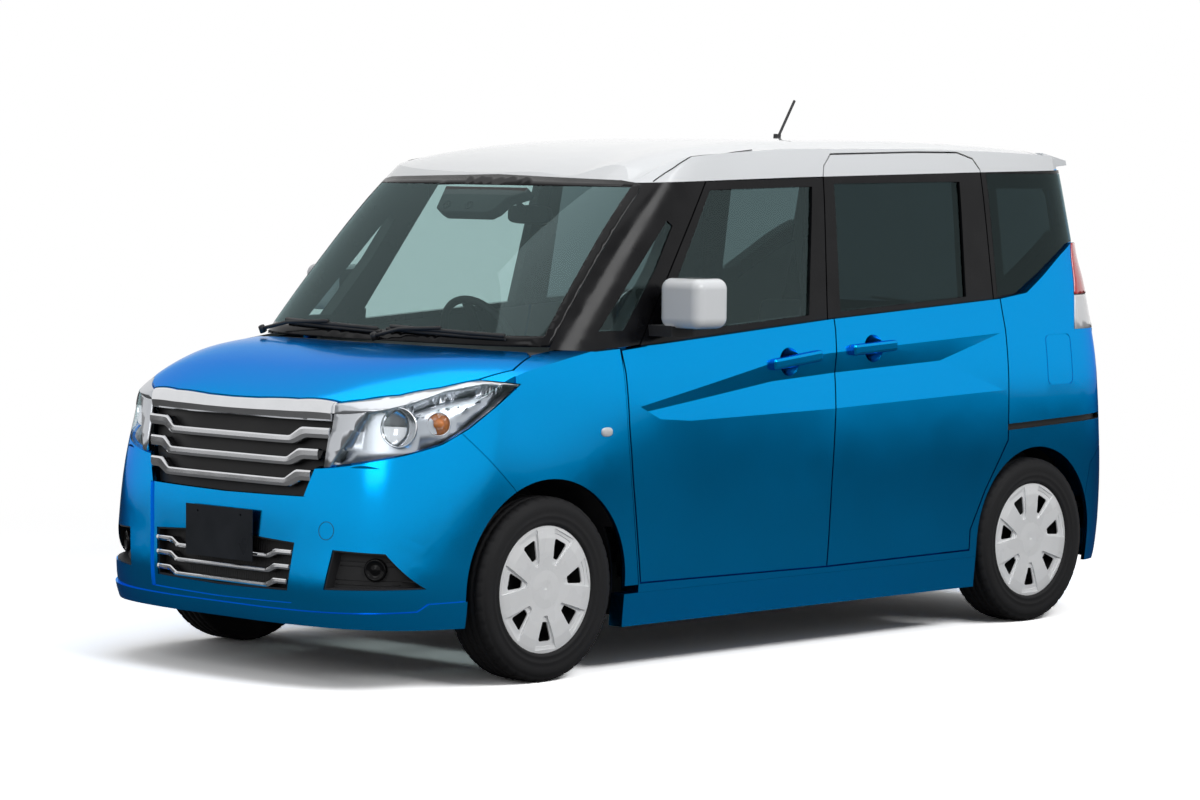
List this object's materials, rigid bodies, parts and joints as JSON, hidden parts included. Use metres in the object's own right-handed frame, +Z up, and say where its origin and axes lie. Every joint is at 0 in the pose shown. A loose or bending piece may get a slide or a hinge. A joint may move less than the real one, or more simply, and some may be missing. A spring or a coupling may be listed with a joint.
{
  "type": "compact minivan",
  "caption": "Compact tall minivan with hinged front doors, bonnet and tailgate, sliding rear doors, steered front wheels and a furnished cabin.",
  "frame": {"origin": "on the ground under the middle of the vehicle's length and width", "axes": "+X forward, +Y to the vehicle's left, +Z up"},
  "size_m": [3.7096, 1.93, 1.8877],
  "materials": {
    "body_paint": "gloss metallic",
    "chrome": "polished",
    "clear_glass": "clear",
    "dark_glass": "clear",
    "dark_metal": "satin",
    "dark_trim": "gloss",
    "exhaust_steel": "satin",
    "lamp_lens": "clear",
    "plain_plastic": "satin",
    "plate": "satin",
    "roof_paint": "gloss",
    "seat_fabric": "woven",
    "tail_lens": "gloss",
    "tyre": "matte",
    "underbody": "satin",
    "wheel_cover": "gloss"
  },
  "bodies": {
    "body": {"floor_pan": "underbody", "body_side_left": "body_paint", "body_side_right": "body_paint", "pillar_frames": "dark_trim", "roof": "roof_paint", "front_fender_left": "body_paint", "front_fender_right": "body_paint", "front_bumper": "body_paint", "upper_grille": "chrome", "lower_grille": "plain_plastic", "headlamps": "lamp_lens", "fog_lamps": "plain_plastic", "windscreen": "clear_glass", "cowl": "plain_plastic", "wipers": "plain_plastic", "front_quarter_glass": "clear_glass", "rear_quarter_glass": "dark_glass", "sliding_door_left": "body_paint", "sliding_door_right": "body_paint", "sliding_door_frames": "dark_trim", "sliding_door_tops": "roof_paint", "sliding_door_glass": "dark_glass", "side_skirts": "body_paint", "rear_bumper": "body_paint", "tail_lamps": "tail_lens", "dashboard": "plain_plastic", "front_seats": "seat_fabric", "rear_seat": "seat_fabric", "engine": "dark_metal", "front_suspension": "dark_metal", "rear_axle": "dark_metal", "exhaust": "exhaust_steel", "fuel_tank": "plain_plastic", "antenna": "plain_plastic", "number_plates": "plate"},
    "bonnet": {"bonnet": "body_paint"},
    "tailgate": {"tailgate": "body_paint", "tailgate_glass": "dark_glass", "rear_wiper": "plain_plastic", "spoiler": "roof_paint"},
    "steering_wheel": {"steering_wheel": "plain_plastic"},
    "door_left": {"front_door_left": "body_paint", "front_door_frame_left": "dark_trim", "front_door_glass_left": "clear_glass", "door_mirror_left": "roof_paint"},
    "knuckle_left": {"knuckle_left": "dark_metal"},
    "wheel_front_left": {"wheel_front_left": "wheel_cover", "tyre_front_left": "tyre"},
    "wheel_rear_left": {"wheel_rear_left": "wheel_cover", "tyre_rear_left": "tyre"},
    "door_right": {"front_door_right": "body_paint", "front_door_frame_right": "dark_trim", "front_door_glass_right": "clear_glass", "door_mirror_right": "roof_paint"},
    "knuckle_right": {"knuckle_right": "dark_metal"},
    "wheel_front_right": {"wheel_front_right": "wheel_cover", "tyre_front_right": "tyre"},
    "wheel_rear_right": {"wheel_rear_right": "wheel_cover", "tyre_rear_right": "tyre"}
  },
  "joints": [
    {"name": "bonnet_hinge", "type": "hinge", "parent": "body", "child": "bonnet", "pos_m": [1.1, 0, 1.026], "axis": [0, -1, 0], "range_deg": [0, 48]},
    {"name": "tailgate_hinge", "type": "hinge", "parent": "body", "child": "tailgate", "pos_m": [-1.603, 0, 1.722], "axis": [0, 1, 0], "range_deg": [0, 76]},
    {"name": "front_door_hinge_left", "type": "hinge", "parent": "body", "child": "door_left", "pos_m": [0.8155, 0.8128, 0.7], "axis": [0, 0, -1], "range_deg": [0, 62]},
    {"name": "steer_left", "type": "hinge", "parent": "body", "child": "knuckle_left", "pos_m": [1.152, 0.65, 0.29775], "axis": [0, -0.1908, 0.9816], "range_deg": [-33, 33]},
    {"name": "wheel_spin_front_left", "type": "hinge", "parent": "knuckle_left", "child": "wheel_front_left", "pos_m": [1.152, 0.715, 0.29775], "axis": [0, 1, 0], "continuous": true},
    {"name": "wheel_spin_rear_left", "type": "hinge", "parent": "body", "child": "wheel_rear_left", "pos_m": [-1.328, 0.7175, 0.29775], "axis": [0, 1, 0], "continuous": true},
    {"name": "front_door_hinge_right", "type": "hinge", "parent": "body", "child": "door_right", "pos_m": [0.8155, -0.8128, 0.7], "axis": [0, 0, 1], "range_deg": [0, 62]},
    {"name": "steer_right", "type": "hinge", "parent": "body", "child": "knuckle_right", "pos_m": [1.152, -0.65, 0.29775], "axis": [0, 0.1908, 0.9816], "range_deg": [-33, 33]},
    {"name": "wheel_spin_front_right", "type": "hinge", "parent": "knuckle_right", "child": "wheel_front_right", "pos_m": [1.152, -0.715, 0.29775], "axis": [0, 1, 0], "continuous": true},
    {"name": "wheel_spin_rear_right", "type": "hinge", "parent": "body", "child": "wheel_rear_right", "pos_m": [-1.328, -0.7175, 0.29775], "axis": [0, 1, 0], "continuous": true},
    {"name": "steering_wheel_spin", "type": "hinge", "parent": "body", "child": "steering_wheel", "pos_m": [0.358, -0.35, 1.014], "axis": [-0.9063, 0, 0.4226], "range_deg": [-462, 462]}
  ],
  "couplings": [
    {"joint": "steer_right", "follows": "steer_left", "ratio": 1},
    {"joint": "steering_wheel_spin", "follows": "steer_left", "ratio": 14}
  ]
}
